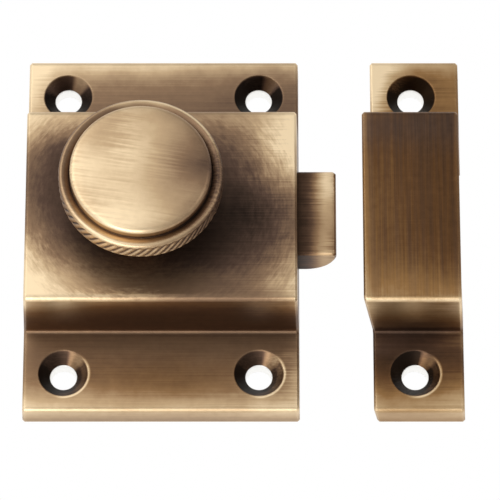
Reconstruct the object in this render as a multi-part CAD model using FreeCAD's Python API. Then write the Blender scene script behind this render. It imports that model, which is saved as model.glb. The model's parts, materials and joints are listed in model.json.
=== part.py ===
import FreeCAD, Part
import math
import os

# Cupboard catch latch: a hat-section case with a spring bolt worked by a turned knob, and its bridge keep.
# Millimetres. The back lies on Z = 0, Z points out of the face and X points from the case to the keep.
# The origin is the centre of the case's screw pattern.

# Fits
slide_clearance = 0.2       # bolt to roof, back plate, mouth and stop
side_clearance = 0.3        # bolt body to the sides of the case
running_clearance = 0.05    # spindle in its bearings, on the radius
seat_clearance = 0.02       # pressed and screwed pieces, on the radius
plate_clearance = 0.15      # back plate in its rebate, all round
slot_clearance = 0.3        # spindle shoulder in the bolt's slot
pin_clearance = 0.2         # crank pin in its cross slot, each side
axial_play = 0.1            # end float of the spindle and knob

# Stack of the mechanism from back to front
plate_sink = 0.3
plate_thickness = 1.2
tail_room = 1.25            # back plate to crank
crank_thickness = 2.4
crank_clearance = 1.0       # crank to bolt
bolt_thickness = 5.85
roof_thickness = 3.05

# Hat section shared by the case and the keep
flange_thickness = 4.4
flange_length = 13.7
wall_draft = 0.7            # how far a wall's foot stands out from its top edge
top_edge_radius = 1.0
flange_edge_radius = 0.8
root_radius = 0.5
end_chamfer = 0.35

# Screw holes
hole_diameter = 4.2
countersink_diameter = 8.0
hole_inset = 6.5            # from the edges of the flange

# Case
case_width = 44.0
end_draft = 0.5
mouth_wall = 4.0
spring_wall = 2.7
side_wall = 5.75
cavity_corner = 1.5
rebate_wall = 1.4
rebate_corner = 2.0

# Back plate screws
plate_screw_diameter = 2.0
plate_screw_head = 3.8
plate_screw_length = 6.0
plate_screw_slot = 0.5

# Bolt
bolt_width = 14.7
bolt_shoulder = 3.2         # body wider than the nose by this, each side
bolt_projection = 5.8
bolt_travel = 5.6
bolt_tail = 4.25            # solid behind the spindle slot
rail_clearance = 0.4        # crank's sweep to the bolt's rails
nose_edge_radius = 0.7
nose_land = 0.2
nose_side_chamfer = 0.35
spigot_diameter = 2.8

# Spring
wire_diameter = 0.45
spring_mean_diameter = 4.2
spring_turns = 4
wire_sides = 4              # the round wire is drawn as a prism
spring_margin = 0.2

# Spindle and crank
spindle_diameter = 6.0
shoulder_diameter = 7.4
washer_thickness = 0.4
washer_bore_clearance = 0.1
tenon_width = 4.4
peen_diameter = 6.8
peen_thickness = 0.5
tail_diameter = 3.0
knob_swing = 60.0
crank_hub_diameter = 9.6
crank_pin_diameter = 3.0
crank_tip_wall = 0.9
crank_pin_rise = 4.4        # into the bolt's cross slot

# Knob
knob_diameter = 25.8
knob_projection = 13.15
rim_thickness = 3.9
rim_chamfer = 0.5           # above the knurl
disc_diameter = 22.2
disc_height = 1.8
disc_chamfer = 0.45
groove_depth = 0.45         # the ring round the disc falls to its foot by this
neck_diameter = 12.6
spindle_engagement = 8.0
knurl_count = 60
knurl_depth = 0.4
knurl_angle = 35.0
knurl_crest = 0.6
knurl_sink = 0.05           # crests below the rim's plain lip
knurl_land = 0.5            # height of the lip under the knurl
grub_diameter = 3.0
grub_sink = 0.4
grub_socket = 1.5
grub_socket_depth = 1.2
grub_rise = 3.6             # above the knob's base

# Keep
keep_gap = 11.6             # case flange to keep flange
keep_width = 14.35
keep_lip = 1.7              # bridge leans over the flange on the bolt's side
keep_draft = 0.65
keep_wall = 4.2
keep_hole_shift = 0.5
pocket_corner = 1.0

# Levels from back to front
plate_top = plate_sink + plate_thickness
crank_bottom = plate_top + tail_room
crank_top = crank_bottom + crank_thickness
bolt_bottom = crank_top + crank_clearance
bolt_top = bolt_bottom + bolt_thickness
roof_z = bolt_top + slide_clearance
section_height = roof_z + roof_thickness
washer_top = roof_z - axial_play
shoulder_top = washer_top - washer_thickness
knob_base = section_height + axial_play
knob_top = section_height + knob_projection
rim_top = knob_top - disc_height
rim_bottom = rim_top - rim_thickness
spindle_top = knob_base + spindle_engagement
grub_z = knob_base + grub_rise

# Places across the latch
body_half = bolt_width / 2 + bolt_shoulder
cavity_half = body_half + side_clearance
box_half = cavity_half + side_wall
foot_half = box_half + wall_draft
plate_half = foot_half + flange_length
hole_y = plate_half - hole_inset
rebate_half_y = foot_half - rebate_wall
plate_screw_y = (cavity_half + rebate_half_y) / 2

# Places along the latch
case_half = case_width / 2
hole_x = case_half - hole_inset
rebate_half_x = case_half - rebate_wall
cavity_left = -case_half + spring_wall
cavity_right = case_half - mouth_wall
spring_solid = (spring_turns + 1) * wire_diameter + spring_margin
slot_half = shoulder_diameter / 2 + slot_clearance
tail_x = cavity_left + spring_solid + bolt_travel
spindle_x = tail_x + bolt_tail + slot_half
shoulder_x = cavity_right - slide_clearance
tip_x = case_half + bolt_projection
crank_radius = bolt_travel / (2 * math.sin(math.radians(knob_swing / 2)))
crank_angle = math.radians(90 - knob_swing / 2)
crank_tip = crank_pin_diameter / 2 + crank_tip_wall
rail_inner = crank_radius + crank_tip + rail_clearance
pin_x = spindle_x + crank_radius * math.cos(crank_angle)
pin_y = crank_radius * math.sin(crank_angle)
keep_left = case_half + keep_gap
keep_right = keep_left + keep_width
keep_hole_x = (keep_left + keep_right) / 2 - keep_hole_shift
keep_pocket_half = box_half - keep_wall

# Overrun of cutting tools, and how near counts as touching
over = 1.0
touch = 1e-4


def vec(x, y, z):
    return FreeCAD.Vector(x, y, z)


def outline(corners, place):
    # Closed face through (u, v, corner radius) points, set in space by place(u, v).
    points = [FreeCAD.Vector(u, v, 0) for u, v, _ in corners]
    runs = []
    for i, corner in enumerate(corners):
        here = points[i]
        back = (points[i - 1] - here).normalize()
        ahead = (points[(i + 1) % len(points)] - here).normalize()
        radius = corner[2]
        if radius == 0:
            runs.append((here, None, here))
            continue
        half = back.getAngle(ahead) / 2
        reach = radius / math.tan(half)
        middle = (back + ahead).normalize()
        crown = here + middle * (radius / math.sin(half) - radius)
        runs.append((here + back * reach, crown, here + ahead * reach))
    edges = []
    for i, run in enumerate(runs):
        start, crown, end = run
        following = runs[(i + 1) % len(runs)][0]
        if crown is not None:
            curve = Part.Arc(place(start.x, start.y), place(crown.x, crown.y), place(end.x, end.y))
            edges.append(curve.toShape())
        if end.distanceToPoint(following) > touch:
            edges.append(Part.LineSegment(place(end.x, end.y), place(following.x, following.y)).toShape())
    return Part.Face(Part.Wire(edges))


def polygon(points):
    return Part.Face(Part.makePolygon(points + points[:1]))


def edge_middle(edge):
    return edge.valueAt((edge.FirstParameter + edge.LastParameter) / 2)


def in_plan(z):
    return lambda u, v: vec(u, v, z)


def in_side(y):
    return lambda u, v: vec(u, y, v)


def in_section(x):
    return lambda u, v: vec(x, u, v)


def rectangle(x0, x1, y0, y1, radius):
    return [(x0, y0, radius), (x1, y0, radius), (x1, y1, radius), (x0, y1, radius)]


def block(x0, x1, y0, y1, z0, z1, radius=0):
    return outline(rectangle(x0, x1, y0, y1, radius), in_plan(z0)).extrude(vec(0, 0, z1 - z0))


def post(x, y, z0, z1, diameter):
    return Part.makeCylinder(diameter / 2, z1 - z0, vec(x, y, z0))


def turned(profile, x):
    # Turns a half section of (radius, height, corner radius) points about the upright axis at x.
    face = outline(profile, in_side(0))
    solid = face.revolve(vec(0, 0, 0), vec(0, 0, 1), 360)
    solid.translate(vec(x, 0, 0))
    return solid


def countersink(x, y):
    # Cutting tool for one wood-screw hole in a flange.
    depth = (countersink_diameter - hole_diameter) / 2
    shank = post(x, y, -over, flange_thickness + over, hole_diameter)
    seat = Part.makeCone(hole_diameter / 2, countersink_diameter / 2 + over, depth + over,
                         vec(x, y, flange_thickness - depth))
    return shank.fuse(seat)


def hat_section(left, right):
    # Hat section run between two leaning ends, each given as its x at the back and at the front.
    section = [
        (-plate_half, 0, 0),
        (plate_half, 0, 0),
        (plate_half, flange_thickness, flange_edge_radius),
        (foot_half, flange_thickness, root_radius),
        (box_half, section_height, top_edge_radius),
        (-box_half, section_height, top_edge_radius),
        (-foot_half, flange_thickness, root_radius),
        (-plate_half, flange_thickness, flange_edge_radius),
    ]
    start = min(left) - over
    bar = outline(section, in_section(start)).extrude(vec(max(right) + over - start, 0, 0))
    ends = [(left[0], 0, 0), (right[0], 0, 0), (right[1], section_height, 0), (left[1], section_height, 0)]
    width = 2 * (plate_half + over)
    bar = bar.common(outline(ends, in_side(-plate_half - over)).extrude(vec(0, width, 0)))
    broken = []
    for edge in bar.Edges:
        middle = edge_middle(edge)
        share = middle.z / section_height
        on_left = abs(middle.x - left[0] - (left[1] - left[0]) * share) < touch
        on_right = abs(middle.x - right[0] - (right[1] - right[0]) * share) < touch
        if (on_left or on_right) and middle.z > touch:
            broken.append(edge)
    return bar.makeChamfer(end_chamfer, broken)


def make_case():
    body = hat_section((-case_half, -case_half + end_draft), (case_half, case_half - end_draft))
    cuts = [
        block(cavity_left, cavity_right, -cavity_half, cavity_half, -over, roof_z, cavity_corner),
        block(-rebate_half_x, rebate_half_x, -rebate_half_y, rebate_half_y, -over, plate_top, rebate_corner),
        post(spindle_x, 0, roof_z - over, section_height + over, spindle_diameter + 2 * running_clearance),
    ]
    mouth_half = bolt_width / 2 + slide_clearance
    cuts.append(block(cavity_right - over, case_half + over, -mouth_half, mouth_half,
                      bolt_bottom - slide_clearance, roof_z))
    for x in (-hole_x, hole_x):
        for y in (-hole_y, hole_y):
            cuts.append(countersink(x, y))
    for x, y in plate_screw_places():
        top = plate_sink + plate_screw_length + over
        cuts.append(post(x, y, plate_top - over, top, plate_screw_diameter + 2 * seat_clearance))
    return body.cut(cuts)


def plate_screw_places():
    return [(0, -plate_screw_y), (0, plate_screw_y)]


def screw_body(x, y, ease):
    # Countersunk screw, or with some ease the hole that takes it.
    head = plate_screw_head / 2 + ease
    shank = plate_screw_diameter / 2 + ease
    cone = Part.makeCone(head, shank, head - shank, vec(x, y, plate_sink))
    stem = post(x, y, plate_sink, plate_sink + plate_screw_length, 2 * shank)
    return cone.fuse(stem)


def make_back_plate():
    half_x = rebate_half_x - plate_clearance
    half_y = rebate_half_y - plate_clearance
    plate = block(-half_x, half_x, -half_y, half_y, plate_sink, plate_top, rebate_corner)
    cuts = [post(spindle_x, 0, -over, plate_top + over, tail_diameter + 2 * running_clearance)]
    for x, y in plate_screw_places():
        cuts.append(screw_body(x, y, seat_clearance))
    return plate.cut(cuts)


def make_back_plate_screws():
    screws = []
    for x, y in plate_screw_places():
        half = plate_screw_slot / 2
        reach = plate_screw_head
        slot = block(x - reach, x + reach, y - half, y + half,
                     plate_sink - over, plate_sink + plate_screw_slot)
        screws.append(screw_body(x, y, 0).cut(slot))
    return Part.makeCompound(screws)


def make_bolt():
    body = block(tail_x, shoulder_x, -body_half, body_half, bolt_bottom, bolt_top, cavity_corner)
    nose_radius = bolt_thickness - nose_edge_radius - nose_land
    inner_x = shoulder_x - cavity_corner
    nose_section = [
        (inner_x, bolt_bottom, 0),
        (tip_x, bolt_bottom, nose_radius),
        (tip_x, bolt_top, nose_edge_radius),
        (inner_x, bolt_top, 0),
    ]
    nose = outline(nose_section, in_side(-bolt_width / 2)).extrude(vec(0, bolt_width, 0))
    sides = []
    for edge in nose.Edges:
        middle = edge_middle(edge)
        if abs(abs(middle.y) - bolt_width / 2) < touch and middle.x > inner_x + touch:
            sides.append(edge)
    nose = nose.makeChamfer(nose_side_chamfer, sides)
    pieces = [nose]
    rail_bottom = plate_top + slide_clearance
    rail_start = tail_x + cavity_corner
    for y0, y1 in ((-body_half, -rail_inner), (rail_inner, body_half)):
        pieces.append(block(rail_start, inner_x, y0, y1, rail_bottom, bolt_bottom + over))
    spigot_length = spring_solid - 2 * wire_diameter
    spring_z = (bolt_bottom + bolt_top) / 2
    pieces.append(Part.makeCylinder(spigot_diameter / 2, spigot_length + over,
                                    vec(tail_x - spigot_length, 0, spring_z), vec(1, 0, 0)))
    bolt = body.fuse(pieces)
    slot = block(spindle_x - slot_half, spindle_x + bolt_travel + slot_half, -slot_half, slot_half,
                 bolt_bottom - over, bolt_top + over, slot_half)
    pin_half = crank_pin_diameter / 2 + pin_clearance
    pin_end = crank_radius + pin_half + pin_clearance
    cross_slot = block(pin_x - pin_half, pin_x + pin_half, 0, pin_end, bolt_bottom - over, bolt_top + over)
    return bolt.cut([slot, cross_slot]).removeSplitter()


def make_bolt_spring():
    length = tail_x - cavity_left - wire_diameter
    helix = Part.makeHelix(length / spring_turns, length, spring_mean_diameter / 2)
    section = []
    for i in range(wire_sides + 1):
        angle = 2 * math.pi * (i + 0.5) / wire_sides
        out = spring_mean_diameter / 2 + wire_diameter / 2 * math.cos(angle)
        section.append(vec(out, 0, wire_diameter / 2 * math.sin(angle)))
    spring = Part.Wire(helix).makePipeShell([Part.makePolygon(section)], True, True)
    spring.rotate(vec(0, 0, 0), vec(0, 1, 0), 90)
    spring.translate(vec(cavity_left + wire_diameter / 2, 0, (bolt_bottom + bolt_top) / 2))
    return spring


def make_spindle():
    peen_bottom = crank_bottom - peen_thickness
    half = tenon_width / 2
    spindle = post(spindle_x, 0, shoulder_top, spindle_top, spindle_diameter)
    return spindle.fuse([
        post(spindle_x, 0, crank_top, shoulder_top, shoulder_diameter),
        block(spindle_x - half, spindle_x + half, -half, half, crank_bottom, crank_top),
        post(spindle_x, 0, peen_bottom, crank_bottom, peen_diameter),
        post(spindle_x, 0, plate_sink + axial_play, peen_bottom, tail_diameter),
    ])


def make_spindle_washer():
    bore = spindle_diameter + 2 * washer_bore_clearance
    ring = post(spindle_x, 0, shoulder_top, washer_top, shoulder_diameter)
    return ring.cut(post(spindle_x, 0, shoulder_top - over, washer_top + over, bore))


def make_crank():
    # Hub and tip joined by their outer tangents.
    hub = crank_hub_diameter / 2
    lean = math.acos((hub - crank_tip) / crank_radius)

    def on_hub(angle):
        return vec(spindle_x + hub * math.cos(angle), hub * math.sin(angle), crank_bottom)

    def on_tip(angle):
        return vec(pin_x + crank_tip * math.cos(angle), pin_y + crank_tip * math.sin(angle), crank_bottom)

    low = crank_angle - lean
    high = crank_angle + lean
    edges = [
        Part.Arc(on_tip(low), on_tip(crank_angle), on_tip(high)).toShape(),
        Part.LineSegment(on_tip(high), on_hub(high)).toShape(),
        Part.Arc(on_hub(high), on_hub(crank_angle + math.pi), on_hub(low)).toShape(),
        Part.LineSegment(on_hub(low), on_tip(low)).toShape(),
    ]
    arm = Part.Face(Part.Wire(edges)).extrude(vec(0, 0, crank_thickness))
    half = tenon_width / 2 + seat_clearance
    square = block(spindle_x - half, spindle_x + half, -half, half, crank_bottom - over, crank_top + over)
    hole = post(pin_x, pin_y, crank_bottom - over, crank_top + over, crank_pin_diameter + 2 * seat_clearance)
    return arm.cut([square, hole])


def make_crank_pin():
    return post(pin_x, pin_y, crank_bottom, bolt_bottom + crank_pin_rise, crank_pin_diameter)


def make_knob():
    rim = knob_diameter / 2
    disc = disc_diameter / 2
    neck = neck_diameter / 2
    core = rim - knurl_sink - knurl_depth - over
    groove_z = rim_top - groove_depth
    profile = [
        (0, knob_base, 0),
        (neck, knob_base, 0),
        (neck, rim_bottom, 0),
        (rim, rim_bottom, 0),
        (rim, rim_bottom + knurl_land, 0),
        (core, rim_bottom + knurl_land, 0),
        (core, rim_top - rim_chamfer, 0),
        (rim, rim_top - rim_chamfer, 0),
        (rim - rim_chamfer, rim_top, 0),
        (disc, groove_z, 0),
        (disc, knob_top - disc_chamfer, 0),
        (disc - disc_chamfer, knob_top, 0),
        (0, knob_top, 0),
    ]
    knob = turned(profile, spindle_x).fuse(knurl_band())
    bore = spindle_diameter + 2 * seat_clearance
    socket = post(spindle_x, 0, knob_base - over, spindle_top + axial_play, bore)
    grub_hole = Part.makeCylinder(grub_diameter / 2 + seat_clearance, rim,
                                  vec(spindle_x, 0, grub_z), vec(0, 1, 0))
    return knob.cut([socket, grub_hole])


def knurl_band():
    # Slanted ridges, run straight between two toothed rings turned against each other.
    low_z = rim_bottom + knurl_land
    high_z = rim_top - rim_chamfer
    crest = knob_diameter / 2 - knurl_sink
    root = crest - knurl_depth
    pitch = 2 * math.pi / knurl_count
    half_crest = knurl_crest / crest / 2
    half_twist = (high_z - low_z) * math.tan(math.radians(knurl_angle)) / crest / 2

    def toothed_ring(z, turn):
        points = []
        for i in range(knurl_count):
            for radius, shift in ((crest, -half_crest), (crest, half_crest), (root, pitch / 2)):
                angle = turn + i * pitch + shift
                points.append(vec(spindle_x + radius * math.cos(angle), radius * math.sin(angle), z))
        return points

    low = toothed_ring(low_z, -half_twist)
    high = toothed_ring(high_z, half_twist)
    faces = [polygon(low), polygon(high)]
    for i in range(len(low)):
        faces.append(polygon([low[i - 1], low[i], high[i]]))
        faces.append(polygon([low[i - 1], high[i], high[i - 1]]))
    return Part.makeSolid(Part.makeShell(faces))


def make_knob_grub_screw():
    start = spindle_diameter / 2 + seat_clearance
    end = neck_diameter / 2 - grub_sink
    screw = Part.makeCylinder(grub_diameter / 2, end - start, vec(spindle_x, start, grub_z), vec(0, 1, 0))
    corner = grub_socket / math.sqrt(3)
    ring = []
    for i in range(6):
        angle = math.radians(60 * i)
        ring.append(vec(spindle_x + corner * math.cos(angle), end + over, grub_z + corner * math.sin(angle)))
    socket = polygon(ring).extrude(vec(0, -over - grub_socket_depth, 0))
    return screw.cut(socket)


def make_keep():
    # The ends lean in a straight line from the back through the flange's front to the bridge's front.
    per_height = 1 / (section_height - flange_thickness)
    back = flange_thickness * per_height
    left = (keep_left + keep_lip * back, keep_left - keep_lip)
    right = (keep_right + keep_draft * back, keep_right - keep_draft)
    body = hat_section(left, right)
    half = keep_pocket_half
    pocket = [
        (-half, -over, 0),
        (half, -over, 0),
        (half, roof_z, pocket_corner),
        (-half, roof_z, pocket_corner),
    ]
    start = min(left) - over
    channel = outline(pocket, in_section(start)).extrude(vec(max(right) + over - start, 0, 0))
    return body.cut([channel, countersink(keep_hole_x, -hole_y), countersink(keep_hole_x, hole_y)])


pieces = {
    "case": make_case(),
    "back_plate": make_back_plate(),
    "back_plate_screws": make_back_plate_screws(),
    "bolt": make_bolt(),
    "bolt_spring": make_bolt_spring(),
    "spindle": make_spindle(),
    "spindle_washer": make_spindle_washer(),
    "crank": make_crank(),
    "crank_pin": make_crank_pin(),
    "knob": make_knob(),
    "knob_grub_screw": make_knob_grub_screw(),
    "keep": make_keep(),
}

os.makedirs("parts", exist_ok=True)
for name, shape in pieces.items():
    shape.exportStep("parts/" + name + ".step")
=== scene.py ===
import bpy
import bmesh
import json
import math
from mathutils import Matrix, Vector


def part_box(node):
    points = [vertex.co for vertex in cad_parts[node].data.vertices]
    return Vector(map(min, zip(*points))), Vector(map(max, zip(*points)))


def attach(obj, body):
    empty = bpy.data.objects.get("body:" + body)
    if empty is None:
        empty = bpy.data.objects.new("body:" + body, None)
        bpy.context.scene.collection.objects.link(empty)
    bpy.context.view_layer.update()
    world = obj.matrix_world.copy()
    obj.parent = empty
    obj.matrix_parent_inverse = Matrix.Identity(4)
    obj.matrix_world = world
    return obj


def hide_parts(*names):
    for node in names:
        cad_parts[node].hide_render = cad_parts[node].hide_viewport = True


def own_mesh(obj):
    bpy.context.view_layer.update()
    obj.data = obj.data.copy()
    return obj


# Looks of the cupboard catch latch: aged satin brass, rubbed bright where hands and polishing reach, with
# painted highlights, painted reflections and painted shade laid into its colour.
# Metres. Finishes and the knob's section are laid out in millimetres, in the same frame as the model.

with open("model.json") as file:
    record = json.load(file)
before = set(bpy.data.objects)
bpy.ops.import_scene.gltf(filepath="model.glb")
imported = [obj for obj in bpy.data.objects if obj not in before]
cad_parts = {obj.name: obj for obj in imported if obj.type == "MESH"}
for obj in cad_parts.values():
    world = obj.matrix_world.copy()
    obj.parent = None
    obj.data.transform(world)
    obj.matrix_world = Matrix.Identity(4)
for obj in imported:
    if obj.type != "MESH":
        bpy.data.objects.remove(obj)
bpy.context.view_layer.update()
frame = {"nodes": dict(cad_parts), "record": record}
nodes = frame["nodes"]
MM = 0.001

# Places that the finishes and the turned knob take from the model, in millimetres
case_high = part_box("case")[1] / MM
bolt_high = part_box("bolt")[1] / MM
keep_low, keep_high = [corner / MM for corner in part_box("keep")]
knob_low, knob_high = [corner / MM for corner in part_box("knob")]
mounts = {mount["name"]: mount for mount in frame["record"]["mounts"]}
FACE_Z = case_high.z
CASE_HALF_X = case_high.x
CASE_HALF_Y = case_high.y
HOLE_X = mounts["case_screws"]["dims"]["spacing_x_mm"] / 2
HOLE_Y = mounts["case_screws"]["dims"]["spacing_y_mm"] / 2
KEEP_HOLE_X = mounts["keep_screws"]["pos_m"][0] / MM
KEEP_LEFT = keep_low.x
KEEP_RIGHT = keep_high.x
BOLT_TIP = bolt_high.x
BOLT_TOP = bolt_high.z
KNOB_X = (knob_low.x + knob_high.x) / 2
KNOB_RADIUS = (knob_high.x - knob_low.x) / 2
KNOB_TOP = knob_high.z

# Levels and widths of the hat section and the countersinks, in millimetres
FLANGE_Z = 4.4
BOX_HALF_Y = 16.6
COUNTERSINK_RADIUS = 4.0
HOLE_RADIUS = 2.1

# The turned knob, in millimetres and degrees
DISC_RADIUS = 11.1
DISC_HEIGHT = 1.8
DISC_CROWN = 0.12
DISC_EDGE = 0.9
RIM_THICKNESS = 3.9
RIM_EDGE = 0.6
RIM_TOP = KNOB_TOP - DISC_HEIGHT
RIM_LOW = RIM_TOP - RIM_THICKNESS
GROOVE_DEPTH = 0.45
NECK_RADIUS = 6.3
NECK_FILLET = 0.8
NECK_EDGE = 0.3
BORE_RADIUS = 3.02
SPINDLE_ROOM = 0.1
GRUB_ROOM = 0.02
SHARP_ANGLE = 50.0

# The dished ring's steps inward and down from the rim, and outward and up from the foot of the disc
DISH_FROM_RIM = ((0.2, 0.04), (0.5, 0.15))
DISH_FROM_DISC = ((0.25, 0.1), (0.02, 0.0))

# The knurl, and how finely the knob is divided
KNURL_COUNT = 60
KNURL_DEPTH = 0.35
KNURL_ANGLE = 35.0
KNURL_CREST = 0.4
KNURL_LIP = 0.5
KNURL_RUN_OUT = 1.0
POINTS_PER_RIDGE = 12
RIM_ROWS = 12
CROWN_ROWS = 8

# The round-wire spring, in millimetres, and how finely it is divided
WIRE_RADIUS = 0.225
SPRING_TURNS = 4
POINTS_PER_TURN = 40
WIRE_SIDES = 10

# Brass from dark patina to bright, where it is rubbed and where light is painted, for a smoky and for a
# warmer patina, and the near-white painted light in the bores
SMOKY_STEPS = (
    (0.00, (0.018, 0.012, 0.009)),
    (0.25, (0.100, 0.060, 0.042)),
    (0.50, (0.255, 0.158, 0.092)),
    (0.75, (0.510, 0.355, 0.205)),
    (1.00, (0.850, 0.660, 0.420)),
)
WARM_STEPS = (
    (0.00, (0.022, 0.012, 0.006)),
    (0.25, (0.120, 0.056, 0.022)),
    (0.50, (0.290, 0.155, 0.058)),
    (0.75, (0.520, 0.352, 0.185)),
    (1.00, (0.850, 0.660, 0.420)),
)
BORE_PAINTED_WHITE = (0.97, 0.96, 0.93, 1)

# How bright each piece's patina is before its patches, from 0 to 1
CASE_PATINA = 0.12
KEEP_PATINA = 0.17
BOLT_PATINA = 0.10
KNOB_PATINA = 0.45

# What the brushing, mottling, worn edges and dirty hollows add to the patina
GRAIN_SHADE = 0.20
MOTTLE_SHADE = 0.12
EDGE_WEAR = 0.25
HOLLOW_DIRT = -0.08

# Roughness of dark brass, its change where the colour is light, and what the brushing adds
DARK_ROUGHNESS = 0.44
LIGHT_COLOUR_ROUGHNESS = -0.08
GRAIN_ROUGHNESS = 0.15

# Reach of hollows and edges, the softened corner and the depth of the brushing, in millimetres
HOLLOW_REACH = 3.0
EDGE_REACH = 0.6
SOFT_CORNER = 0.2
BRUSH_DEPTH = 0.02
BRUSH_STRENGTH = 0.2

# Directions of a countersink's painted reflection, a light patch, and of its painted edge highlight from
# the hole's middle, and its painted shades, reflection and highlights
PATCH_SIDE = (0.6, 0.8)
HIGHLIGHT_SIDE = (0.87, -0.5)
CONE_SHADE = -0.45
NEAR_CONE_LIFT = 0.17
PATCH_SHADE = 0.42
SHADOW_SHADE = -0.30
RING_HIGHLIGHT_SHADE = 0.45
FLANK_HIGHLIGHT_SHADE = 0.22

# Steel: how dark it goes, the scale of its clouds, and how much its lines and clouds show
STEEL_DARK = 0.6
CLOUD_SCALE = 0.35
LINE_SHADE = 0.8
CLOUD_SHADE = 1.2

# How noise is drawn out into lines: scales along the axes or round the knob, and the disc's tilt
ALONG_X = (0.06, 4.0, 4.0)
ALONG_Y = (4.0, 0.06, 4.0)
BROAD_ALONG_Y = (1.6, 0.04, 1.6)
ON_DISC = (0.10, 2.6, 2.6)
DISC_TILT = 9.0
TURNED = (4.0, 1, 4.0)
ROUND_SCALE = 10.0
OUTWARD_SCALE = 1.8

# How the edges of patches wander, and how far they are drawn out along the lines, in millimetres
DRIFT_SCALE = 0.2
DRIFT_REACH = 3.0
BRUSHED_FRAY = 6.0
FACE_FRAY = 3.0
ROUND_FRAY = 5.0
DISC_FRAY = 9.0

# Patches of the case, each as (weight, centre, reach). Besides the patina's own light and dark they hold
# painted highlights, painted reflections of the white floor and the knob's painted shadow.
CASE_PATCHES = (
    # Far edge of the face
    (0.48, (0, BOX_HALF_Y, FACE_Z), (60, 5, 4)),
    (0.24, (-19, BOX_HALF_Y, FACE_Z), (12, 5, 4)),
    # Corners of the face
    (0.82, (22, 9.5, FACE_Z), (8, 7, 4)),
    (0.78, (-22, -17, FACE_Z), (11, 10, 4)),
    (0.65, (23, -16, FACE_Z), (9, 9.5, 4)),
    # Sides of the face
    (0.22, (-22, 0, FACE_Z), (4.0, 30, 4)),
    (0.10, (-22, 11.5, FACE_Z), (3, 4, 4)),
    (0.18, (-22, -8, FACE_Z), (3, 3, 4)),
    (0.15, (22, 0, FACE_Z), (3.0, 30, 4)),
    # Painted shadow of the knob, on its right
    (-0.12, (13.5, -1, FACE_Z), (5, 8, 4)),
    # Near edge of the face and the wall under it
    # Painted light below the knob, against the shade that it casts and reflects there
    (0.36, (-3, -13.5, FACE_Z), (14, 4, 4)),
    # Painted highlight along the face's rounded near edge, turning to painted shade at the right
    (0.36, (-7, -BOX_HALF_Y, FACE_Z), (10, 1.2, 2)),
    (0.12, (9, -BOX_HALF_Y, FACE_Z), (8, 1.2, 2)),
    (-0.15, (20, -BOX_HALF_Y, FACE_Z), (6, 1.2, 2)),
    (-0.20, (-20, -17, FACE_Z - 0.5), (6, 1.0, 1.2)),
    (0.10, (-18, -17.2, 9), (8, 2, 6)),
    # Far flange
    (0.27, (0, CASE_HALF_Y, FLANGE_Z), (60, 5, 4)),
    (0.25, (0, CASE_HALF_Y, FLANGE_Z), (60, 2.2, 4)),
    (0.06, (-10, 26, FLANGE_Z), (14, 9, 4)),
    (0.20, (-22, 26, FLANGE_Z), (6, 9, 4)),
    (0.32, (-22, 24, FLANGE_Z), (3.2, 9, 4)),
    (-0.05, (16, 24, FLANGE_Z), (10, 6, 4)),
    # Near flange
    # Painted highlight along the root of the wall
    (0.08, (0, -19, FLANGE_Z), (60, 2, 2)),
    (0.32, (22, -25, FLANGE_Z), (3.0, 4, 4)),
    # Painted reflection of the white floor along the near edge and on the front face
    (0.44, (0, -CASE_HALF_Y, FLANGE_Z), (60, 3.2, 5)),
    (0.12, (-20, -CASE_HALF_Y, FLANGE_Z), (9, 4, 4)),
    (0.14, (20, -CASE_HALF_Y, FLANGE_Z), (8, 4, 4)),
    (0.12, (-22, -26, FLANGE_Z), (1.8, 9, 4)),
)
CASE_WARM_PATCH = (0.7, (0, -26, FLANGE_Z), (20, 5, 4))

# Patches of the keep: its patina's light and dark, with painted highlights along the bridge's near edge
# and painted reflections of the white floor on the near flange
KEEP_PATCHES = (
    # Bridge
    (0.14, (KEEP_LEFT + 1, -4, FACE_Z), (9, 16, 4)),
    # Painted highlight towards the bridge's near edge
    (0.26, (KEEP_LEFT + 8, -BOX_HALF_Y, FACE_Z), (16, 6, 4)),
    (0.05, (KEEP_LEFT, 16, FACE_Z), (5, 2, 4)),
    # Near wall
    (0.18, (KEEP_LEFT + 2, -17, 12), (6, 3, 4)),
    (0.38, (KEEP_RIGHT - 1, -17, 12), (4, 3, 4)),
    (-0.10, (KEEP_LEFT + 9, -18, 6), (5, 3, 2)),
    # Far flange
    (0.95, (KEEP_LEFT + 1, 27, FLANGE_Z), (4.5, 10, 4)),
    (0.28, (KEEP_RIGHT, 25, FLANGE_Z), (8, 10, 4)),
    (0.52, (KEEP_LEFT + 9, CASE_HALF_Y, FLANGE_Z), (9, 2.6, 4)),
    # Near flange
    # Painted reflection of the white floor along the near edge and on the front face
    (0.52, (KEEP_LEFT + 8, -CASE_HALF_Y, FLANGE_Z), (30, 4, 6)),
    (-0.10, (KEEP_LEFT + 8, -CASE_HALF_Y, FLANGE_Z), (30, 0.8, 1.2)),
    (0.15, (KEEP_RIGHT, -CASE_HALF_Y, FLANGE_Z), (5, 8, 4)),
    (0.15, (KEEP_LEFT + 1.5, -28, FLANGE_Z), (1.5, 5, 4)),
    (0.10, (KEEP_LEFT + 3, -19, FLANGE_Z), (5, 2, 3)),
    (0.20, (KEEP_RIGHT, -19, FLANGE_Z), (5, 1.6, 3)),
    (-0.10, (KEEP_LEFT + 2, -24, FLANGE_Z), (4, 3, 3)),
    # Painted reflection of the white floor, low on the front face
    (0.08, (KEEP_LEFT + 8, -CASE_HALF_Y - 1, 1.5), (30, 2, 3)),
)
KEEP_SMOKY_PATCHES = (
    (0.7, (KEEP_LEFT + 8, 14, FACE_Z), (30, 4, 4)),
    (0.9, (KEEP_LEFT + 5, -19, FLANGE_Z), (13, 4, 4)),
)

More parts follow.
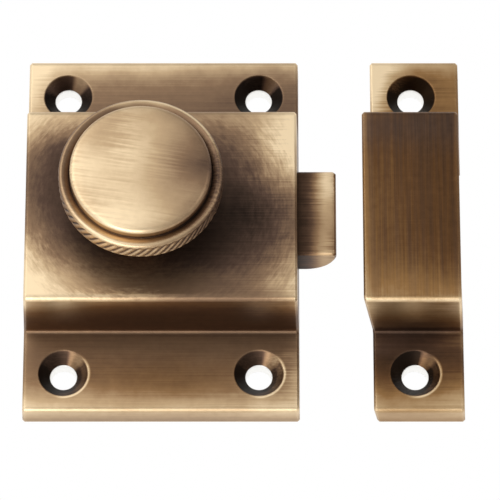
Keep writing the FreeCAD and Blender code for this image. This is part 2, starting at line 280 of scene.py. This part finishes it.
# Patches of the bolt's nose: a painted highlight on its top and front near the tip, and painted shade on
# its end
BOLT_PATCHES = (
    (0.34, (BOLT_TIP - 1.8, 5, BOLT_TOP), (2.0, 4.5, 4)),
    (0.16, (BOLT_TIP - 2.7, -7, BOLT_TOP), (1.8, 4, 6)),
    (-0.20, (BOLT_TIP, -7, BOLT_TOP), (1.4, 4, 6)),
)

# Patches of the knob, over its patina: painted reflections on the disc's face, painted shade on the disc's
# near edge and the rim's right, and painted highlights on the rim's lip and the front of the knurl
KNOB_PATCHES = (
    # Face of the disc
    (0.10, (KNOB_X + 5, -9, KNOB_TOP), (7, 4, 1)),
    (0.14, (KNOB_X + 6, 8, KNOB_TOP), (5, 4, 1)),
    (-0.08, (KNOB_X - 1, 10, KNOB_TOP), (10, 4, 1)),
    (0.10, (KNOB_X - 8.5, 0, KNOB_TOP), (3, 3, 1)),
    (-0.10, (KNOB_X - 5, 6, KNOB_TOP), (4, 3, 1)),
    (0.07, (KNOB_X, 3, KNOB_TOP), (4, 4, 1)),
    (0.14, (KNOB_X + 8.5, -4, KNOB_TOP), (4, 3, 1)),
    (-0.15, (KNOB_X + 10, 0, KNOB_TOP), (4, 3, 1)),
    # Edge of the disc
    (0.06, (KNOB_X, 10.8, KNOB_TOP), (10, 0.7, 1)),
    (-0.17, (KNOB_X - 3, -10.8, KNOB_TOP - 0.5), (12, 1.6, 1)),
    (-0.10, (KNOB_X - 9, -6.5, KNOB_TOP - 0.3), (3, 4, 1)),
    # Dished ring and rim
    (0.25, (KNOB_X, 12.5, RIM_TOP), (12, 1.2, 1.2)),
    (0.20, (KNOB_X - 8, -9, RIM_TOP), (5, 5, 1.5)),
    (-0.06, (KNOB_X - 13, 0, RIM_TOP), (3, 9, 1.5)),
    (-0.12, (KNOB_X + 1, -12.6, RIM_TOP), (4, 1.2, 1.2)),
    (0.42, (KNOB_X - 4, -14, RIM_TOP - 1), (11, 6, 4)),
    (-0.30, (KNOB_X + 13, 0, RIM_TOP - 1), (1.5, 10, 4)),
    (-0.15, (KNOB_X + 10, -9, RIM_TOP - 2), (5, 5, 2)),
)
# Painted highlight along the rim's crest on the far right
CREST_HIGHLIGHT_PATCH = (0.45, (KNOB_X + 8, 9.5, RIM_TOP), (6, 6, 2))

# The studio, in metres and watts: lamps as (name, place, size, power), the room's light and the floor
LAMPS = (
    ("key", (-0.40, 0.15, 0.50), 0.80, 2.1),
    ("fill", (0.50, 0.10, 0.45), 0.40, 0.5),
    ("front", (-0.20, -0.60, 0.30), 0.50, 2.0),
)
LAMP_TARGET = (0.012, 0, 0.01)
ROOM_COLOUR = (0.96, 0.98, 1.0, 1)
ROOM_LEFT = 0.92
ROOM_RIGHT = 0.55
FLOOR_SIZE = 3.0
FLOOR_Z = -0.0001


class Graph:
    """Short names for the shader nodes that the finishes use."""

    def __init__(self, name):
        self.material = bpy.data.materials.new(name)
        self.material.use_nodes = True
        self.nodes = self.material.node_tree.nodes
        self.links = self.material.node_tree.links
        self.nodes.clear()

    def add(self, kind, inputs=None, **settings):
        node = self.nodes.new("ShaderNode" + kind)
        for name, value in settings.items():
            setattr(node, name, value)
        for name, value in (inputs or {}).items():
            self.feed(node.inputs[name], value)
        return node

    def feed(self, socket, value):
        if isinstance(value, bpy.types.NodeSocket):
            self.links.new(value, socket)
        else:
            socket.default_value = value

    def math(self, operation, first, second=0.0, clamp=False):
        node = self.add("Math", {0: first, 1: second}, operation=operation, use_clamp=clamp)
        return node.outputs[0]

    def vector(self, operation, first, second=(0, 0, 0), output="Vector"):
        node = self.add("VectorMath", {0: first, 1: second}, operation=operation)
        return node.outputs[output]

    def total(self, *parts):
        result = parts[0]
        for part in parts[1:]:
            result = self.math("ADD", result, part)
        return result

    def product(self, *parts):
        result = parts[0]
        for part in parts[1:]:
            result = self.math("MULTIPLY", result, part)
        return result

    def minus(self, first, second):
        return self.math("SUBTRACT", first, second)

    def swing(self, noise, weight):
        """Noise made to swing evenly above and below nothing, times a weight."""
        return self.product(self.minus(noise, 0.5), weight)

    def step(self, value, start, end):
        """0 at start, 1 at end, smooth between. The start may be the larger."""
        inputs = {"Value": value, "From Min": start, "From Max": end}
        return self.add("MapRange", inputs, interpolation_type="SMOOTHSTEP").outputs[0]

    def near(self, value, level, far, close):
        """1 within close of a level, 0 beyond far."""
        return self.step(self.math("ABSOLUTE", self.minus(value, level)), far, close)

    def noise(self, vector, scale, detail=3.0, roughness=0.55):
        inputs = {"Vector": vector, "Scale": scale, "Detail": detail, "Roughness": roughness}
        return self.add("TexNoise", inputs).outputs["Fac"]

    def blend(self, factor, first, second):
        return self.add("Mix", {"Factor": factor, "A": first, "B": second}).outputs["Result"]

    def mix_colour(self, factor, first, second):
        node = self.add("Mix", data_type="RGBA")
        self.feed(node.inputs["Factor"], factor)
        self.feed(node.inputs[6], first)
        self.feed(node.inputs[7], second)
        return node.outputs[2]

    def ramp(self, value, steps):
        node = self.add("ValToRGB", {"Fac": value})
        elements = node.color_ramp.elements
        while len(elements) < len(steps):
            elements.new(0.5)
        for element, (place, colour) in zip(elements, steps):
            element.position = place
            element.color = (*colour, 1)
        return node.outputs["Color"]

    def finished(self, surface):
        """The material, with this surface."""
        self.add("OutputMaterial", {"Surface": surface})
        return self.material


class Place:
    """Coordinates on the model, in millimetres, and soft masks made from them."""

    def __init__(self, graph):
        self.g = graph
        coordinates = graph.add("TexCoord").outputs["Object"]
        self.point = graph.vector("SCALE", coordinates)
        self.point.node.inputs["Scale"].default_value = 1 / MM
        self.x, self.y, self.z = graph.add("SeparateXYZ", {"Vector": self.point}).outputs
        drift = graph.add("TexNoise", {"Vector": self.point, "Scale": DRIFT_SCALE, "Detail": 3.0})
        moved = graph.vector("SUBTRACT", drift.outputs["Color"], (0.5, 0.5, 0.5))
        moved = graph.vector("MULTIPLY", moved, (DRIFT_REACH, DRIFT_REACH, 0.0))
        self.ragged = graph.vector("ADD", self.point, moved)

    def fray(self, lines, reach, direction=(1, 0, 0)):
        """Draws the edges of later spots out along the finish's lines, as far as reach."""
        g = self.g
        moved = g.vector("SCALE", direction)
        g.feed(moved.node.inputs["Scale"], g.swing(lines, reach))
        self.ragged = g.vector("ADD", self.ragged, moved)

    def spot(self, weight, centre, reach):
        """A soft patch of the given weight, with a ragged edge."""
        g = self.g
        offset = g.vector("SUBTRACT", self.ragged, centre)
        offset = g.vector("MULTIPLY", offset, tuple(1 / r for r in reach))
        spread = g.vector("DOT_PRODUCT", offset, offset, "Value")
        fall = g.math("EXPONENT", g.product(spread, -1.0))
        return g.product(fall, weight)

    def spots(self, patches):
        return self.g.total(*[self.spot(*patch) for patch in patches])

    def above(self, level, blend=0.6):
        return self.g.step(self.z, level - blend, level)

    def fold(self, coordinate, offset):
        """Distance past the nearer of two mirrored places, keeping the coordinate's own direction."""
        g = self.g
        past = g.minus(g.math("ABSOLUTE", coordinate), offset)
        return g.product(past, g.math("SIGN", coordinate))

    def streaks(self, stretch, tilt=0.0):
        """Brushed lines: noise drawn out along the axis with the small stretch.

        They are turned clockwise by tilt degrees.
        """
        g = self.g
        inputs = {"Vector": self.point, "Angle": math.radians(tilt)}
        turned = g.add("VectorRotate", inputs, rotation_type="Z_AXIS").outputs["Vector"]
        return g.noise(g.vector("MULTIPLY", turned, stretch), 1.0, 3.0, 0.6)

    def round_streaks(self, centre_x):
        """Lines rubbed round an upright axis, and the direction away from it."""
        g = self.g
        across = g.minus(self.x, centre_x)
        radius = length_of(g, across, self.y)
        away = g.add("CombineXYZ", {"X": across, "Y": self.y}).outputs["Vector"]
        outward = g.vector("NORMALIZE", away)
        around = g.vector("MULTIPLY", outward, (ROUND_SCALE, ROUND_SCALE, 0.0))
        depth = g.add("CombineXYZ", {"Z": g.product(radius, OUTWARD_SCALE)}).outputs["Vector"]
        return g.noise(g.vector("ADD", around, depth), 1.0, 4.0, 0.65), outward


def length_of(g, across, along):
    return g.math("SQRT", g.total(g.math("POWER", across, 2.0), g.math("POWER", along, 2.0)))


def facing(g, across, along, side):
    """How squarely a place lies to one side of a hole: 1 on that side, -1 opposite."""
    toward = g.total(g.product(across, side[0]), g.product(along, side[1]))
    return g.math("DIVIDE", toward, length_of(g, across, along))


def near_row(g, place):
    """1 at the holes nearer to the photograph's camera."""
    return g.step(place.y, 1, -1)


def countersinks(g, place, across, along, patched):
    """Shade of the dark cones, and the bores.

    A painted reflection, a light patch, lies on the far side where patched is 1, and the near row of
    holes has a painted highlight on the right of its edge. The cones are painted dark, painted shade,
    darkest on the side away from the reflection. The back round the holes stays plain.
    """
    near = near_row(g, place)
    cone_foot = FLANGE_Z - COUNTERSINK_RADIUS + HOLE_RADIUS
    in_front = g.step(place.z, cone_foot - 1.0, cone_foot - 0.2)
    distance = length_of(g, across, along)
    cone = g.step(distance, COUNTERSINK_RADIUS, COUNTERSINK_RADIUS - 0.25)
    bore = g.step(distance, HOLE_RADIUS + 0.08, HOLE_RADIUS + 0.03)
    # Painted reflection on the far side of the cone, painted shadow on the other side
    to_patch = facing(g, across, along, PATCH_SIDE)
    patch = g.product(g.step(to_patch, 0.87, 0.99), patched)
    shadow = g.step(to_patch, 0.0, -0.6)
    # Painted highlight on the right of the near row's edges
    lit_edge = g.product(g.step(facing(g, across, along, HIGHLIGHT_SIDE), 0.0, 0.8), near)
    ring = g.near(distance, COUNTERSINK_RADIUS + 0.05, 0.4, 0.05)
    flank = g.near(distance, COUNTERSINK_RADIUS - 0.7, 0.6, 0.2)
    shade = g.total(
        g.product(cone, g.total(g.product(near, NEAR_CONE_LIFT), CONE_SHADE)),
        g.product(patch, cone, PATCH_SHADE),
        g.product(shadow, cone, SHADOW_SHADE),
        g.product(ring, lit_edge, RING_HIGHLIGHT_SHADE),
        g.product(flank, lit_edge, FLANK_HIGHLIGHT_SHADE),
    )
    return g.product(shade, in_front), bore


def aged_brass(name, layout):
    """Satin brass with a patina.

    layout(graph, place) gives how light the colour is, 0 dark to 1 bright, from the patina and from
    painted highlights, reflections and shade; the brushed grain; how warm the patina is; and the bores
    where it has any.
    """
    g = Graph(name)
    place = Place(g)
    lightness, grain, warmth, bores = layout(g, place)
    open_sky = g.add("AmbientOcclusion", {"Distance": HOLLOW_REACH * MM}, samples=6).outputs["AO"]
    inner = g.add("AmbientOcclusion", {"Distance": EDGE_REACH * MM}, samples=6, inside=True).outputs["AO"]
    edge = g.step(inner, 0.95, 0.55)
    hollow = g.step(open_sky, 0.75, 0.25)
    mottle = g.noise(place.point, 0.8, 5.0, 0.6)
    lightness = g.total(
        lightness,
        g.swing(grain, GRAIN_SHADE),
        g.swing(mottle, MOTTLE_SHADE),
        g.product(edge, EDGE_WEAR),
        g.product(hollow, HOLLOW_DIRT),
    )
    lightness = g.math("ADD", lightness, 0.0, clamp=True)
    roughness = g.total(
        g.product(lightness, LIGHT_COLOUR_ROUGHNESS),
        DARK_ROUGHNESS,
        g.swing(grain, GRAIN_ROUGHNESS),
    )
    colour = g.mix_colour(warmth, g.ramp(lightness, SMOKY_STEPS), g.ramp(lightness, WARM_STEPS))
    if bores is not None:
        # The bores are painted near white: painted light, as if the white floor lit them through
        colour = g.mix_colour(bores, colour, BORE_PAINTED_WHITE)
    brushed = g.add("Bump", {
        "Strength": BRUSH_STRENGTH,
        "Distance": BRUSH_DEPTH * MM,
        "Height": grain,
        "Normal": g.add("Bevel", {"Radius": SOFT_CORNER * MM}, samples=4).outputs["Normal"],
    })
    shader = g.add("BsdfPrincipled", {
        "Base Color": colour,
        "Metallic": 1.0,
        "Roughness": roughness,
        "Normal": brushed.outputs["Normal"],
    })
    return g.finished(shader.outputs["BSDF"])


def case_layout(g, place):
    brushed = place.streaks(ALONG_X)
    rubbing_and_lit_left, outward = place.round_streaks(KNOB_X)
    on_face = place.above(FACE_Z - 0.3)
    on_flange = g.step(place.z, FLANGE_Z + 1.0, FLANGE_Z)
    below_face = g.step(place.z, FACE_Z - 0.3, FACE_Z - 1.5)
    on_wall = g.minus(below_face, on_flange)
    place.fray(brushed, g.minus(BRUSHED_FRAY, g.product(on_face, BRUSHED_FRAY - FACE_FRAY)))
    place.fray(rubbing_and_lit_left, g.product(on_face, ROUND_FRAY), outward)
    grain = g.blend(g.product(on_face, 0.2), brushed, rubbing_and_lit_left)
    warmth = g.total(g.product(on_wall, 0.45), place.spot(*CASE_WARM_PATCH))
    across = place.fold(place.x, HOLE_X)
    along = place.fold(place.y, HOLE_Y)
    shade, bores = countersinks(g, place, across, along, 1.0)
    lightness = g.total(
        CASE_PATINA,
        g.product(on_flange, 0.18),
        g.product(below_face, 0.06),
        place.spots(CASE_PATCHES),
        shade,
    )
    return lightness, grain, warmth, bores


def keep_layout(g, place):
    middle_x = (KEEP_LEFT + KEEP_RIGHT) / 2
    half_width = (KEEP_RIGHT - KEEP_LEFT) / 2
    bridge = place.above(FACE_Z - 0.3)
    brushed = place.streaks(ALONG_X)
    place.fray(brushed, BRUSHED_FRAY)
    grain = g.blend(bridge, brushed, place.streaks(ALONG_Y))
    above_flange = g.step(place.z, FLANGE_Z + 0.2, FLANGE_Z + 2)
    wall = g.product(above_flange, g.step(place.z, FACE_Z, FACE_Z - 1))
    bands = g.step(place.streaks(BROAD_ALONG_Y), 0.3, 0.7)
    banded = g.swing(bands, bridge)
    # A painted highlight along the bridge's rounded near edge
    fold_line = g.near(place.y, -BOX_HALF_Y, 0.7, 0.1)
    fold_line = g.product(fold_line, g.step(place.z, FACE_Z - 1.2, FACE_Z - 0.4))
    off_middle = g.math("ABSOLUTE", g.minus(place.x, middle_x))
    side_edges = g.product(g.step(off_middle, half_width - 2.2, half_width), bridge)
    far_edge = g.product(g.step(place.y, BOX_HALF_Y - 0.8, BOX_HALF_Y), bridge)
    smoke = place.spots(KEEP_SMOKY_PATCHES)
    warmth = g.total(0.9, g.product(banded, 0.4), g.product(smoke, -1.0))
    across = g.minus(place.x, KEEP_HOLE_X)
    along = place.fold(place.y, HOLE_Y)
    shade, bores = countersinks(g, place, across, along, near_row(g, place))
    lightness = g.total(
        KEEP_PATINA,
        g.product(wall, 0.22),
        g.product(banded, 0.06),
        g.product(fold_line, 0.24),
        g.product(side_edges, 0.17),
        g.product(far_edge, 0.12),
        place.spots(KEEP_PATCHES),
        shade,
    )
    return lightness, grain, warmth, bores


def bolt_layout(g, place):
    brushed = place.streaks(ALONG_X)
    place.fray(brushed, BRUSHED_FRAY)
    # The nose is painted darker near the case and lighter towards the tip, painted shade and light, with
    # painted shade on its very end
    nose = g.step(place.x, CASE_HALF_X + 0.8, BOLT_TIP - 1.5)
    tip = g.step(place.x, BOLT_TIP - 0.5, BOLT_TIP)
    lightness = g.total(
        BOLT_PATINA,
        g.product(nose, 0.50),
        g.product(tip, -0.25),
        place.spots(BOLT_PATCHES),
    )
    return lightness, brushed, 0.3, None


def knob_layout(g, place):
    brushed = place.streaks(ON_DISC, DISC_TILT)
    place.fray(brushed, DISC_FRAY)
    radius = length_of(g, g.minus(place.x, KNOB_X), place.y)
    on_disc = g.step(radius, DISC_RADIUS + 0.1, DISC_RADIUS - 0.1)
    disc = g.product(on_disc, place.above(RIM_TOP, 0.4))
    # Painted shade in the groove at the foot of the disc
    foot = g.near(radius, DISC_RADIUS + 0.05, 0.25, 0.05)
    foot = g.product(foot, g.step(place.z, RIM_TOP + 0.2, RIM_TOP - 0.2))
    section = g.add("CombineXYZ", {"X": radius, "Z": place.z}).outputs["Vector"]
    turned = g.noise(g.vector("MULTIPLY", section, TURNED), 1.0)
    grain = g.blend(disc, turned, brushed)
    ragged_x = g.add("SeparateXYZ", {"Vector": place.ragged}).outputs["X"]
    # The disc is painted lighter on its left: painted light falling from that side
    rubbing_and_lit_left = g.step(ragged_x, KNOB_X + 9, KNOB_X - 2)
    # Painted shade in the knurl's gaps, on the rim's band
    sunk = g.step(radius, KNOB_RADIUS - 0.06, KNOB_RADIUS - 0.28)
    on_rim = g.step(radius, KNOB_RADIUS - 0.55, KNOB_RADIUS - 0.45)
    at_band = g.step(place.z, RIM_TOP, RIM_TOP - RIM_EDGE)
    # A painted highlight along the crest of the rim
    crest = g.near(radius, KNOB_RADIUS - 0.35, 0.3, 0.05)
    crest = g.product(crest, place.above(RIM_TOP - 0.1, 0.3))
    lightness = g.total(
        KNOB_PATINA,
        g.product(rubbing_and_lit_left, 0.40, disc),
        g.product(g.swing(brushed, 0.10), disc),
        g.product(sunk, on_rim, at_band, -0.5),
        g.product(foot, -0.30),
        g.product(crest, 0.15),
        g.product(crest, place.spot(*CREST_HIGHLIGHT_PATCH)),
        place.spots(KNOB_PATCHES),
    )
    return lightness, grain, 0.0, None


def steel(name, tint, roughness):
    """Plain drawn or rolled steel with faint lines and a cloudy plated skin."""
    g = Graph(name)
    place = Place(g)
    lines = place.streaks(ALONG_X)
    clouds = g.noise(place.point, CLOUD_SCALE, 4.0, 0.6)
    value = g.total(0.5, g.swing(lines, LINE_SHADE), g.swing(clouds, CLOUD_SHADE))
    dark = tuple(STEEL_DARK * c for c in tint)
    drawn = {"Strength": BRUSH_STRENGTH, "Distance": BRUSH_DEPTH * MM, "Height": lines}
    shader = g.add("BsdfPrincipled", {
        "Base Color": g.ramp(value, ((0.0, dark), (1.0, tint))),
        "Metallic": 1.0,
        "Roughness": g.total(g.product(lines, 0.2), roughness),
        "Normal": g.add("Bump", drawn).outputs["Normal"],
    })
    return g.finished(shader.outputs["BSDF"])


def dress(node, material):
    mesh = nodes[node].data
    mesh.materials.clear()
    mesh.materials.append(material)


def object_from(name, mesh):
    """Puts a finished bmesh into the scene as an object."""
    data = bpy.data.meshes.new(name)
    mesh.to_mesh(data)
    mesh.free()
    made = bpy.data.objects.new(name, data)
    bpy.context.scene.collection.objects.link(made)
    return made


def arc(centre_r, centre_z, radius, start, end, steps=6):
    """Points round part of a circle in the turning profile, angles in degrees from straight out."""
    points = []
    for i in range(steps + 1):
        angle = math.radians(start + (end - start) * i / steps)
        points.append((centre_r + radius * math.cos(angle), centre_z + radius * math.sin(angle)))
    return points


def knob_profile():
    """Half section of the knob as (radius, height), from the top of its bore to the middle of its disc."""
    bore_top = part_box("spindle")[1].z / MM + SPINDLE_ROOM
    base = knob_low.z
    edge_r = DISC_RADIUS - DISC_EDGE
    edge_z = KNOB_TOP - DISC_CROWN - DISC_EDGE
    groove_z = RIM_TOP - GROOVE_DEPTH
    lip = KNOB_RADIUS - RIM_EDGE
    straight = RIM_THICKNESS - 2 * RIM_EDGE
    outline = [(0.0, bore_top), (BORE_RADIUS, bore_top), (BORE_RADIUS, base)]
    outline += arc(NECK_RADIUS - NECK_EDGE, base + NECK_EDGE, NECK_EDGE, -90, 0, 3)
    outline += arc(NECK_RADIUS + NECK_FILLET, RIM_LOW - NECK_FILLET, NECK_FILLET, 180, 90)
    outline += arc(lip, RIM_LOW + RIM_EDGE, RIM_EDGE, -90, 0)
    for i in range(1, RIM_ROWS):
        outline.append((KNOB_RADIUS, RIM_LOW + RIM_EDGE + straight * i / RIM_ROWS))
    outline += arc(lip, RIM_TOP - RIM_EDGE, RIM_EDGE, 0, 90, 8)
    outline += [(lip - inward, RIM_TOP - down) for inward, down in DISH_FROM_RIM]
    outline += [(DISC_RADIUS + outward, groove_z + up) for outward, up in DISH_FROM_DISC]
    outline += arc(edge_r, edge_z, DISC_EDGE, 0, 84, 10)
    for i in range(1, CROWN_ROWS):
        share = 1 - i / CROWN_ROWS
        outline.append((edge_r * share, KNOB_TOP - DISC_CROWN * share ** 2))
    outline.append((0.0, KNOB_TOP))
    return outline


def smooth_between(value, low, high):
    share = min(1.0, max(0.0, (value - low) / (high - low)))
    return share * share * (3 - 2 * share)


def knurl_cut(turn, run):
    """Depth of the full diagonal knurl at an angle round the knob and a length run along the profile."""
    twist = run * math.tan(math.radians(KNURL_ANGLE)) / KNOB_RADIUS
    phase = (turn - twist) * KNURL_COUNT / (2 * math.pi) % 1.0
    flank = max(0.0, abs(2 * phase - 1) - KNURL_CREST) / (1 - KNURL_CREST)
    return KNURL_DEPTH * flank


def knurl_share(radius, height):
    """Share of the knurl's depth at a point of the profile: it runs out at both edges of the rim."""
    if radius < KNOB_RADIUS - RIM_EDGE / 2:
        return 0.0
    from_below = smooth_between(height, RIM_LOW + KNURL_LIP * 0.5, RIM_LOW + KNURL_LIP * 1.5)
    from_above = smooth_between(RIM_TOP - height, RIM_EDGE / 2, RIM_EDGE / 2 + KNURL_RUN_OUT)
    return from_below * from_above


def make_knob(material):
    """The turned knob with rounded edges and a cut diagonal knurl round its rim."""
    outline = knob_profile()
    around = KNURL_COUNT * POINTS_PER_RIDGE
    mesh = bmesh.new()
    rows = []
    run = 0.0
    for i, (radius, height) in enumerate(outline):
        if i > 0:
            run += math.dist(outline[i - 1], outline[i])
        if radius == 0.0:
            rows.append([mesh.verts.new((KNOB_X * MM, 0, height * MM))])
            continue
        knurled = knurl_share(radius, height)
        row = []
        for k in range(around):
            turn = 2 * math.pi * k / around
            r = radius - knurl_cut(turn, run) * knurled
            x = KNOB_X + r * math.cos(turn)
            y = r * math.sin(turn)
            row.append(mesh.verts.new((x * MM, y * MM, height * MM)))
        rows.append(row)
    for row, following in zip(rows, rows[1:]):
        for k in range(around):
            n = (k + 1) % around
            if len(row) == 1:
                mesh.faces.new((row[0], following[k], following[n]))
            elif len(following) == 1:
                mesh.faces.new((row[k], following[0], row[n]))
            else:
                mesh.faces.new((row[k], following[k], following[n], row[n]))
    bmesh.ops.recalc_face_normals(mesh, faces=mesh.faces)
    knob = object_from("knob_turned", mesh)
    drill_grub_hole(knob)
    knob.data.shade_smooth()
    knob.data.set_sharp_from_angle(angle=math.radians(SHARP_ANGLE))
    knob.data.materials.clear()
    knob.data.materials.append(material)
    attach(knob, "knob")
    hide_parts("knob")


def drill_grub_hole(knob):
    """Cuts the cross hole that the grub screw sits in."""
    low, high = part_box("knob_grub_screw")
    radius = (high.z - low.z) / 2 + GRUB_ROOM * MM
    start = (BORE_RADIUS - 1.0) * MM
    end = (NECK_RADIUS + 2.0) * MM
    middle = ((low.x + high.x) / 2, (start + end) / 2, (low.z + high.z) / 2)
    sizes = {"radius1": radius, "radius2": radius, "depth": end - start}
    drill = bmesh.new()
    bmesh.ops.create_cone(drill, cap_ends=True, segments=48, **sizes)
    along_y = Matrix.Translation(middle) @ Matrix.Rotation(math.pi / 2, 4, "X")
    bmesh.ops.transform(drill, matrix=along_y, verts=drill.verts)
    cutter = object_from("grub_hole", drill)
    boolean = knob.modifiers.new("grub_hole", "BOOLEAN")
    boolean.operation = "DIFFERENCE"
    boolean.solver = "EXACT"
    boolean.object = cutter
    depsgraph = bpy.context.evaluated_depsgraph_get()
    drilled = bpy.data.meshes.new_from_object(knob.evaluated_get(depsgraph))
    knob.modifiers.remove(boolean)
    knob.data = drilled
    drilled.name = "knob_turned"
    bpy.data.objects.remove(cutter)


def make_spring(material):
    """Round-wire spring in the place of the model's spring. On the real latch it closes up as the bolt is
    drawn in.
    """
    low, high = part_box("bolt_spring")
    wire = WIRE_RADIUS * MM
    coil = (high.y - low.y) / 2 - wire
    centre_z = (low.z + high.z) / 2
    full = high.x - low.x
    length = full - 2 * wire
    steps = SPRING_TURNS * POINTS_PER_TURN
    mesh = bmesh.new()
    rings = []
    for i in range(steps + 1):
        turn = 2 * math.pi * i / POINTS_PER_TURN
        out = Vector((0, math.cos(turn), math.sin(turn)))
        middle = Vector((low.x + wire + length * i / steps, 0, centre_z)) + out * coil
        ring = []
        for k in range(WIRE_SIDES):
            side = 2 * math.pi * k / WIRE_SIDES
            forward = Vector((wire * math.sin(side), 0, 0))
            ring.append(mesh.verts.new(middle + out * wire * math.cos(side) + forward))
        rings.append(ring)
    for ring, following in zip(rings, rings[1:]):
        for k in range(WIRE_SIDES):
            n = (k + 1) % WIRE_SIDES
            mesh.faces.new((ring[k], ring[n], following[n], following[k]))
    mesh.faces.new(rings[0][::-1])
    mesh.faces.new(rings[-1])
    bmesh.ops.recalc_face_normals(mesh, faces=mesh.faces)
    spring = object_from("spring_wire", mesh)
    spring.data.shade_smooth()
    spring.data.materials.append(material)
    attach(spring, "case")
    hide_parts("bolt_spring")
    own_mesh(spring)


def make_floor():
    """A white ground that gives its own light."""
    bpy.ops.mesh.primitive_plane_add(size=FLOOR_SIZE, location=(0, 0, FLOOR_Z))
    floor = bpy.context.object
    floor.name = "floor"
    g = Graph("floor_white")
    shader = g.add("Emission", {"Color": (1.0, 1.0, 1.0, 1.0), "Strength": 1.0})
    floor.data.materials.append(g.finished(shader.outputs["Emission"]))


def make_light(name, place, size, power):
    """A square lamp that faces the latch."""
    data = bpy.data.lights.new(name, "AREA")
    data.shape = "SQUARE"
    data.size = size
    data.energy = power
    light = bpy.data.objects.new(name, data)
    light.location = place
    light.rotation_mode = "QUATERNION"
    light.rotation_quaternion = (Vector(LAMP_TARGET) - Vector(place)).to_track_quat("-Z", "Y")
    bpy.context.scene.collection.objects.link(light)


def make_studio():
    """A white room, lighter on the left, with soft lamps at the left, the right and the front."""
    scene = bpy.context.scene
    world = bpy.data.worlds.new("studio")
    world.use_nodes = True
    room = world.node_tree.nodes
    links = world.node_tree.links
    direction = room.new("ShaderNodeTexCoord").outputs["Generated"]
    axes = room.new("ShaderNodeSeparateXYZ")
    links.new(direction, axes.inputs["Vector"])
    spread = room.new("ShaderNodeMapRange")
    links.new(axes.outputs["X"], spread.inputs["Value"])
    spread.inputs["From Min"].default_value = -1.0
    spread.inputs["To Min"].default_value = ROOM_LEFT
    spread.inputs["To Max"].default_value = ROOM_RIGHT
    background = room["Background"]
    background.inputs["Color"].default_value = ROOM_COLOUR
    links.new(spread.outputs["Result"], background.inputs["Strength"])
    scene.world = world
    for lamp in LAMPS:
        make_light(*lamp)
    scene.view_settings.view_transform = "Standard"


def make_camera():
    """The photograph's view: from the front, well above, through a long lens."""
    elevation = math.radians(65.0)
    distance = 0.7214
    target = Vector((0.01409, -0.00469, 0.008))
    back = Vector((0, -math.cos(elevation), math.sin(elevation)))
    data = bpy.data.cameras.new("camera")
    data.sensor_width = 36.0
    data.lens = 325.8
    data.clip_start = 0.01
    data.clip_end = 20.0
    camera = bpy.data.objects.new("camera", data)
    camera.location = target + back * distance
    camera.rotation_mode = "QUATERNION"
    camera.rotation_quaternion = (-back).to_track_quat("-Z", "Y")
    bpy.context.scene.collection.objects.link(camera)
    bpy.context.scene.camera = camera


dress("case", aged_brass("case_brass", case_layout))
dress("keep", aged_brass("keep_brass", keep_layout))
make_knob(aged_brass("knob_brass", knob_layout))
dress("bolt", aged_brass("bolt_brass", bolt_layout))
plain_steel = steel("plain_steel", (0.42, 0.41, 0.39), 0.30)
for name in ("back_plate", "spindle", "spindle_washer", "crank", "crank_pin", "knob_grub_screw"):
    dress(name, plain_steel)
dress("back_plate_screws", steel("screw_steel", (0.62, 0.59, 0.53), 0.22))
make_spring(steel("spring_steel", (0.36, 0.36, 0.37), 0.25))
make_floor()
make_studio()
make_camera()
